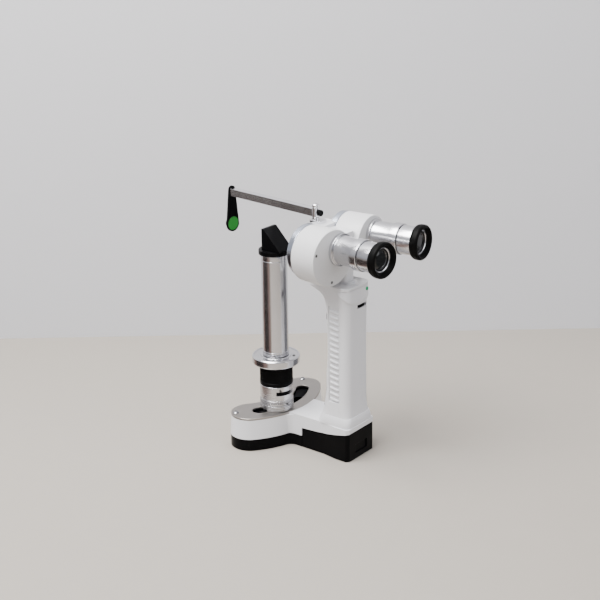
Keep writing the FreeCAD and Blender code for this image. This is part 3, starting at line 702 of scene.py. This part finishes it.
# -------- base and handle
class SLITLAMP_OT_base(bpy.types.Operator):
    """Finish the base housing, crescent plate, bottom cover, battery and their small parts"""
    bl_idname = "slit_lamp.base"
    bl_label = "Base"

    def execute(self, context):
        sizes = context.scene.slit_lamp_sizes
        softened("base_housing", "shell", sizes.shell_edge, segments=3)
        softened("top_plate", "plate")
        softened("bottom_cover", "cover", 0.0006, segments=3)
        softened("battery_pack", "cover", 0.0006, segments=3)
        carry("cover", "slot_liner")
        carry("plate screw", "plate_screws")
        carry("rubber", "rubber_feet", "pack_feet")
        carry("wrap", "battery_cells")
        carry("dark screw", "foot_screws")
        return {"FINISHED"}


class SLITLAMP_OT_handle(bpy.types.Operator):
    """Finish the handle shells, hood, grip ribs, trigger, thumbwheel and indicator"""
    bl_idname = "slit_lamp.handle"
    bl_label = "Handle"

    def execute(self, context):
        softened("handle_front", "shell")
        softened("handle_rear", "shell")
        softened("saddle", "shell", 0.0006)
        softened("power_trigger", "cover", 0.0006)
        carry("cover", "trigger_switch")
        carry("board", "circuit_board")
        self.hood(context)
        self.ribs(context)
        self.thumbwheel(context)
        self.indicator()
        return {"FINISHED"}

    def wall(self, z, turn):
        """Point and outward normal on the handle's rear half; turn runs -1 to 1 round it."""
        bend = HANDLE_REAR + HANDLE_CORNER
        flat = HANDLE_HALF - HANDLE_CORNER
        arc = HANDLE_CORNER * math.pi / 2
        leg = HANDLE_SEAM - bend
        run = abs(turn) * (flat + arc + leg)
        sign = -1 if turn < 0 else 1
        if run < flat:
            return Vector((sign * run, HANDLE_REAR, z)), Vector((0, -1, 0))
        if run < flat + arc:
            angle = (run - flat) / HANDLE_CORNER
            out = Vector((sign * math.sin(angle), -math.cos(angle), 0))
            return Vector((sign * flat, bend, z)) + out * HANDLE_CORNER, out
        return Vector((sign * HANDLE_HALF, bend + run - flat - arc, z)), Vector((sign, 0, 0))

    def hood(self, context):
        """Raised hood round the rear of the handle's top, deepest along its lower edge."""
        depth = context.scene.slit_lamp_sizes.hood_depth
        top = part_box("handle_rear")[1][2]
        middle, rise, kick = 0.1512, 0.0100, 0.0045     # lower edge: height, and rise outwards
        tuck, top_tuck = 0.0004, 0.0006                 # how far the edges sink into the handle
        columns, rows = 72, 14
        bm = bmesh.new()
        grid = []
        for i in range(columns + 1):
            turn = -1 + 2 * i / columns
            aside = abs(turn)
            lower = middle + rise * aside ** 1.6 + kick * max(0.0, aside - 0.6) / 0.4
            out = self.wall(lower, turn)[1]
            column = [bm.verts.new(self.wall(lower - tuck, turn)[0] - out * tuck)]
            for k in range(rows + 1):
                t = k / rows
                where, out = self.wall(lower + (top - lower) * t, turn)
                ease = min(1.0, (1 - aside) / 0.08) ** 0.5
                lift = depth * (1 - 0.75 * t) * ease
                bevel = min(1.0, k / 2.0)
                column.append(bm.verts.new(where + out * (lift * (0.55 + 0.45 * bevel))))
            where, out = self.wall(top, turn)
            column.append(bm.verts.new(where - out * top_tuck))
            grid.append(column)
        for left, right in zip(grid, grid[1:]):
            for k in range(len(left) - 1):
                bm.faces.new((left[k], right[k], right[k + 1], left[k + 1]))
            bm.faces.new((left[-1], right[-1], right[0], left[0]))
        bm.faces.new(grid[0])
        bm.faces.new(grid[-1])
        piece = link("handle_hood", mesh_from("handle_hood", bm, 40.0))
        settle(piece, [], "shell", body="base")

    def ribs(self, context):
        """Slanted grip ribs on a pad in each side of the handle."""
        sizes = context.scene.slit_lamp_sizes
        half, front, rear = 0.0174, 0.0015, -0.0096     # crest of the ribs, and their ends in y
        first = 0.0592                                  # height of the lowest rib
        pad_foot, pad_height, pad_sunk, pad_thick = 0.0563, 0.0934, 0.0009, 0.0018
        rows = 40
        plates, ribs = [], []
        for sign in (-1, 1):
            bm = bmesh.new()
            for k in range(2):
                out = (half - pad_sunk - pad_thick * k) * sign
                for i in range(rows + 1):
                    y = rear + (front - rear) * i / rows
                    bm.verts.new((out - sign * self.draw_in(y), y, pad_foot))
            bm.verts.ensure_lookup_table()
            faces = [bm.faces.new((bm.verts[i], bm.verts[i + 1], bm.verts[rows + 2 + i],
                                   bm.verts[rows + 1 + i])) for i in range(rows)]
            grown = bmesh.ops.extrude_face_region(bm, geom=faces)["geom"]
            tops = [g for g in grown if isinstance(g, bmesh.types.BMVert)]
            bmesh.ops.translate(bm, vec=(0, 0, pad_height), verts=tops)
            plates.append(mesh_from("grip_pad", bm))
            rib = self.rib(sign, half, front, rear)
            ribs.append(repeated("grip_ribs", rib, "shell", sizes.rib_count,
                                 step=(0, 0, sizes.rib_pitch), tilt=sizes.rib_tilt,
                                 matrix=Matrix.Translation((0, 0, first))))
        piece = link("grip_ribs", joined("grip_ribs", *plates, *ribs))
        settle(piece, "grip_inserts", "shell")

    def draw_in(self, y):
        """How far the handle's side has drawn in at y."""
        return max(0.0, y + 0.001) ** 2 * SIDE_CURVE

    def rib(self, sign, half, front, rear):
        """One rounded rib that follows the side of the handle from rear to front."""
        bm = bmesh.new()
        rows, around = 10, 8
        thick, tall = 0.0011, 0.00125
        rings = []
        for i in range(rows + 1):
            y = rear + (front - rear) * i / rows
            end = min(1.0, math.sqrt(max(0.0, 1 - (2 * i / rows - 1) ** 6)) + 0.12)
            middle = sign * (half - 0.0005 - self.draw_in(y))
            angles = [2 * math.pi * k / around for k in range(around)]
            rings.append([bm.verts.new((middle + thick * end * math.cos(a), y,
                                        tall * end * math.sin(a))) for a in angles])
        for this, other in zip(rings, rings[1:]):
            for k in range(around):
                j = (k + 1) % around
                bm.faces.new((this[k], this[j], other[j], other[k]))
        bm.faces.new(rings[0])
        bm.faces.new(rings[-1])
        return mesh_from("rib", bm, 50.0)

    def thumbwheel(self, context):
        """Knurled thumbwheel of the brightness control."""
        sizes = context.scene.slit_lamp_sizes
        a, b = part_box("brightness_wheel")
        radius = (b[0] - a[0]) / 2
        place = Matrix.Translation(at_joint("dimmer_turn", 0.0))
        outline = [(0, a[2], 0), (radius - 0.0003, a[2], 0.0004),
                   (radius - 0.0003, b[2], 0.0004), (0, b[2], 0)]
        body = turned("wheel_body", outline, place, along="Z")
        tooth = bar_element("tooth", 0.0006, 0.0006, b[2] - a[2] - 0.0006)
        tooth.transform(Matrix.Translation((radius - 0.0006, 0, (a[2] + b[2]) / 2)))
        teeth = repeated("wheel_teeth", tooth, "cover", sizes.wheel_knurls,
                         turn=2 * math.pi / sizes.wheel_knurls, matrix=place)
        piece = link("thumbwheel", joined("thumbwheel", body, teeth))
        settle(piece, "brightness_wheel", "cover")

    def indicator(self):
        """Domed indicator lens that stands just through the hood."""
        a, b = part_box("indicator_lens")
        centre = Vector(((a[0] + b[0]) / 2, 0, (a[2] + b[2]) / 2))
        radius = (b[0] - a[0]) / 2
        outline = [(0, b[1], 0), (radius, b[1], 0), (radius, a[1] - 0.0006, 0.0008),
                   (0, a[1] - 0.0009, 0)]
        turned_piece("indicator_dome", outline, Matrix.Translation(centre), "indicator_lens",
                     "indicator", steps=32)


# -------- binocular head
class SLITLAMP_OT_head(bpy.types.Operator):
    """Finish the centre body, front rings and objective lenses"""
    bl_idname = "slit_lamp.head"
    bl_label = "Binocular head"

    def execute(self, context):
        softened("centre_body", "shell", 0.0006)
        softened("front_rings", "front rings", 0.0005)
        softened("post_bracket", "chrome")
        carry("glass", "objective_lenses")
        return {"FINISHED"}


class SLITLAMP_OT_cans(bpy.types.Operator):
    """Turn the two prism cans with their seams, and finish their screws and sleeves"""
    bl_idname = "slit_lamp.cans"
    bl_label = "Prism cans"

    def execute(self, context):
        for side, sign in SIDES:
            place = along_can(side)
            radius, depth, back = 0.0259, 0.027, 0.002
            outline = [(0, 0, 0), (radius, 0, 0.0011), (radius, back - 0.00012, 0.00008),
                       (radius - 0.00022, back, 0), (radius, back + 0.00012, 0.00008),
                       (radius, depth, 0.0006), (0, depth, 0)]
            turned_piece("can_" + side, outline, place, ("can_shell_" + side, "can_back_" + side),
                         "can", steps=128)
            self.screws(side, sign, place)
            carry("glass", "prism_" + side)
            self.sleeve(side)
        return {"FINISHED"}

    def screws(self, side, sign, place):
        """Three small dark screws in the back plate, each with a raised middle."""
        outline = [(0, -0.00035, 0), (0.0007, -0.00035, 0.0001), (0.0008, -0.0001, 0),
                   (0.0014, -0.00012, 0.0002), (0.0015, 0.0005, 0), (0, 0.0006, 0)]
        meshes = [turned("screw", outline, place @ Matrix.Translation((sign * across, 0, up)),
                         steps=20)
                  for across, up in ((0.0214, 0.0072), (0.0016, -0.0220), (-0.0206, -0.0076))]
        piece = link("can_screw_heads_" + side, joined("can_screw_heads_" + side, *meshes))
        settle(piece, "can_screws_" + side, "dark screw")

    def sleeve(self, side):
        """Stepped sleeve: base ring, slim waist and the wide end flange."""
        place = along_can(side, "dioptre_" + side)
        outline = [(0.0086, 0.0, 0), (0.0150, 0.0, 0.0002), (0.0150, -0.0032, 0.0006),
                   (0.0132, -0.0034, 0.0003), (0.0132, -0.0218, 0.0003), (0.0144, -0.0222, 0.0004),
                   (0.0144, -0.0300, 0.0006), (0.0086, -0.0300, 0.0003)]
        turned_piece("sleeve_turned_" + side, outline, place, "sleeve_" + side, side, closed=True)


class SLITLAMP_OT_eyepieces(bpy.types.Operator):
    """Turn the eyepiece tubes, the thick rubber eyecups and their bright bezels"""
    bl_idname = "slit_lamp.eyepieces"
    bl_label = "Eyepieces"

    def execute(self, context):
        for side, _ in SIDES:
            place = along_can(side, "dioptre_" + side)
            tube = [(0.0074, -0.0310, 0), (0.0134, -0.0305, 0.0005), (0.0134, -0.0440, 0.0004),
                    (0.0112, -0.0442, 0), (0.0112, -0.0490, 0), (0.0106, -0.0490, 0),
                    (0.0106, -0.0330, 0), (0.0074, -0.0330, 0)]
            turned_piece("eyepiece_" + side, tube, place, "eyepiece_tube_" + side, side,
                         closed=True)
            cup = [(0.0113, -0.0444, 0.0002), (0.0156, -0.0444, 0.0012), (0.0164, -0.0470, 0.0020),
                   (0.0164, -0.0510, 0.0022), (0.0150, -0.0526, 0.0014), (0.0138, -0.0524, 0.0010),
                   (0.0113, -0.0484, 0.0004)]
            turned_piece("eyecup_soft_" + side, cup, place, "eyecup_" + side, "rubber",
                         closed=True)
            bezel = [(0.0112, -0.0470, 0.0001), (0.0112, -0.0486, 0.0002),
                     (0.0102, -0.0480, 0.0002), (0.0100, -0.0470, 0.0001)]
            turned_piece("eye_bezel_" + side, bezel, place, [], "chrome",
                         body=BODY_OF["eyecup_" + side], slot="chrome", closed=True)
            # The eye lens takes a near-black finish that paints the shade inside the eyepiece
            carry("eye glass", "eye_lens_" + side)
        return {"FINISHED"}


# -------- forehead arm
class SLITLAMP_OT_arm(bpy.types.Operator):
    """Finish the post, ground bar, knob, paddle, sight disc and brow pad"""
    bl_idname = "slit_lamp.arm"
    bl_label = "Forehead arm"

    def execute(self, context):
        softened("post", "chrome", 0.0002)
        softened("arm_bar", "bar")
        softened("arm_knob", "anodised", 0.0004)
        softened("paddle", "cover", 0.0004)
        softened("sight_disc", "disc", 0.00025)
        softened("brow_pad", "rubber", 0.0009, segments=3)
        return {"FINISHED"}


# -------- lamp tower
class SLITLAMP_OT_tower(bpy.types.Operator):
    """Finish the carriage, tube, filter band, slit ring and prism head"""
    bl_idname = "slit_lamp.tower"
    bl_label = "Lamp tower"

    def execute(self, context):
        sizes = context.scene.slit_lamp_sizes
        place = Matrix.Translation(at_joint("slit_turn", 0.0))
        softened("carriage_body", "carriage", 0.00025)
        self.beads(sizes, place)
        self.index_window(place)
        self.band(sizes, place)
        self.ring(place)
        self.tube(place)
        softened("prism_head", "anodised", 0.0004)
        carry("dark screw", "carriage_screws", "ring_screws")
        carry("screw", "carriage_shoe", "slit_disc", "filter_disc")
        carry("brass", "bulb_holder")
        carry("glass", "bulb", "condenser_lens", "projector_lens", "prism_glass")
        return {"FINISHED"}

    def beads(self, sizes, place):
        """Thin dark rings that stand just proud of the carriage's foot, as painted shade of its grooves."""
        a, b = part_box("carriage_body")
        radius = (b[0] - a[0]) / 2
        outline = [(radius - 0.0004, -0.0004, 0), (radius + 0.00012, -0.0003, 0.0001),
                   (radius + 0.00012, 0.0003, 0.0001), (radius - 0.0004, 0.0004, 0)]
        bead = turned("bead", outline, Matrix.Identity(4), closed=True, along="Z")
        start = Matrix.Translation((0, 0, 0.0352))
        # The rings' dark finish paints the shade that falls in the carriage's grooves
        mesh = repeated("carriage_beads", bead, "groove", sizes.bead_count,
                        step=(0, 0, sizes.bead_pitch), matrix=place @ start)
        piece = link("carriage_beads", mesh)
        settle(piece, [], "groove", body="lamp")

    def index_window(self, place):
        """Black insert at the back of the carriage's index window."""
        outline = [(0.0129, 0.0499, 0), (0.0134, 0.0501, 0), (0.0134, 0.0541, 0),
                   (0.0129, 0.0543, 0)]
        turned_piece("index_window", outline, place, [], "cover", body="lamp",
                     slot="black_plastic", closed=True, along="Z")

    def band(self, sizes, place):
        """Knurled filter band with a plain rim above and below."""
        a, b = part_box("filter_band")
        radius, bore, rim = (b[0] - a[0]) / 2, 0.0108, 0.0030
        outline = [(bore, a[2], 0), (radius, a[2], 0.0007), (radius, a[2] + rim, 0.0003),
                   (radius - 0.0006, a[2] + rim + 0.0005, 0.0002),
                   (radius - 0.0006, b[2] - rim - 0.0005, 0.0002), (radius, b[2] - rim, 0.0003),
                   (radius, b[2], 0.0007), (bore, b[2], 0)]
        body = turned("band_body", outline, place, closed=True, along="Z")
        height = b[2] - a[2] - 2 * rim - 0.0014
        tooth = bar_element("band_tooth", 0.0007, 0.00062, height, taper=0.96)
        tooth.transform(Matrix.Translation((radius - 0.0009, 0, (a[2] + b[2]) / 2)))
        teeth = repeated("band_teeth", tooth, "anodised", sizes.knurl_count,
                         turn=2 * math.pi / sizes.knurl_count, matrix=place)
        piece = link("knurled_band", joined("knurled_band", body, teeth))
        settle(piece, "filter_band", "anodised")

    def ring(self, place):
        """Wide slit ring with a rolled rim and a raised collar."""
        a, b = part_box("slit_ring")
        radius, bore = (b[0] - a[0]) / 2, 0.0108
        outline = [(bore, a[2], 0), (radius - 0.0008, a[2], 0.0006),
                   (radius, a[2] + 0.0012, 0.0008), (radius, b[2] - 0.0012, 0.0008),
                   (radius - 0.0010, b[2], 0.0006),
                   (radius - 0.0020, b[2], 0.0002), (radius - 0.0022, b[2] - 0.0006, 0.0001),
                   (0.0148, b[2] - 0.0006, 0.0001), (0.0146, b[2], 0.0003), (bore, b[2], 0)]
        turned_piece("slit_ring_turned", outline, place, "slit_ring", "tube", closed=True,
                     steps=128, along="Z")

    def tube(self, place):
        """Long bright tube with a wider foot, a fine groove near the top and a soft top edge."""
        a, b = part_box("lamp_tube")
        radius, bore = (b[0] - a[0]) / 2, 0.0104
        outline = [(bore, a[2], 0), (radius + 0.0003, a[2], 0.0004),
                   (radius + 0.0003, a[2] + 0.004, 0.0003), (radius, a[2] + 0.0044, 0.0001),
                   (radius, b[2] - 0.0055, 0.0001),
                   (radius - 0.0002, b[2] - 0.0052, 0.0001), (radius, b[2] - 0.0049, 0.0001),
                   (radius, b[2], 0.0005), (bore + 0.0006, b[2], 0)]
        turned_piece("tower_tube", outline, place, "lamp_tube", "tube", closed=True, steps=128,
                     along="Z")


# -------- panel and run
class SLITLAMP_PT_builder(bpy.types.Panel):
    """Builds the slit lamp's pieces one group at a time"""
    bl_idname = "SLITLAMP_PT_builder"
    bl_label = "Slit lamp"
    bl_space_type = "VIEW_3D"
    bl_region_type = "UI"
    bl_category = "Slit lamp"

    def draw(self, context):
        for step in STEPS:
            self.layout.operator(step.bl_idname, text=step.bl_label)
        for holder in (context.scene.slit_lamp_finish, context.scene.slit_lamp_sizes,
                       context.scene.slit_lamp_stage):
            column = self.layout.column()
            for key in holder.__annotations__:
                column.prop(holder, key)


STEPS = (SLITLAMP_OT_stage, SLITLAMP_OT_base, SLITLAMP_OT_handle, SLITLAMP_OT_head,
         SLITLAMP_OT_cans, SLITLAMP_OT_eyepieces, SLITLAMP_OT_arm, SLITLAMP_OT_tower)
CLASSES = (SlitLampFinish, SlitLampSizes, SlitLampStage, *STEPS, SLITLAMP_PT_builder)


def register():
    for cls in CLASSES:
        bpy.utils.register_class(cls)
    bpy.types.Scene.slit_lamp_finish = PointerProperty(type=SlitLampFinish)
    bpy.types.Scene.slit_lamp_sizes = PointerProperty(type=SlitLampSizes)
    bpy.types.Scene.slit_lamp_stage = PointerProperty(type=SlitLampStage)


def unregister():
    del bpy.types.Scene.slit_lamp_stage
    del bpy.types.Scene.slit_lamp_sizes
    del bpy.types.Scene.slit_lamp_finish
    for cls in reversed(CLASSES):
        bpy.utils.unregister_class(cls)


def main():
    register()
    bpy.ops.slit_lamp.stage()
    bpy.ops.slit_lamp.base()
    bpy.ops.slit_lamp.handle()
    bpy.ops.slit_lamp.head()
    bpy.ops.slit_lamp.cans()
    bpy.ops.slit_lamp.eyepieces()
    bpy.ops.slit_lamp.arm()
    bpy.ops.slit_lamp.tower()


if __name__ == "__main__":
    main()
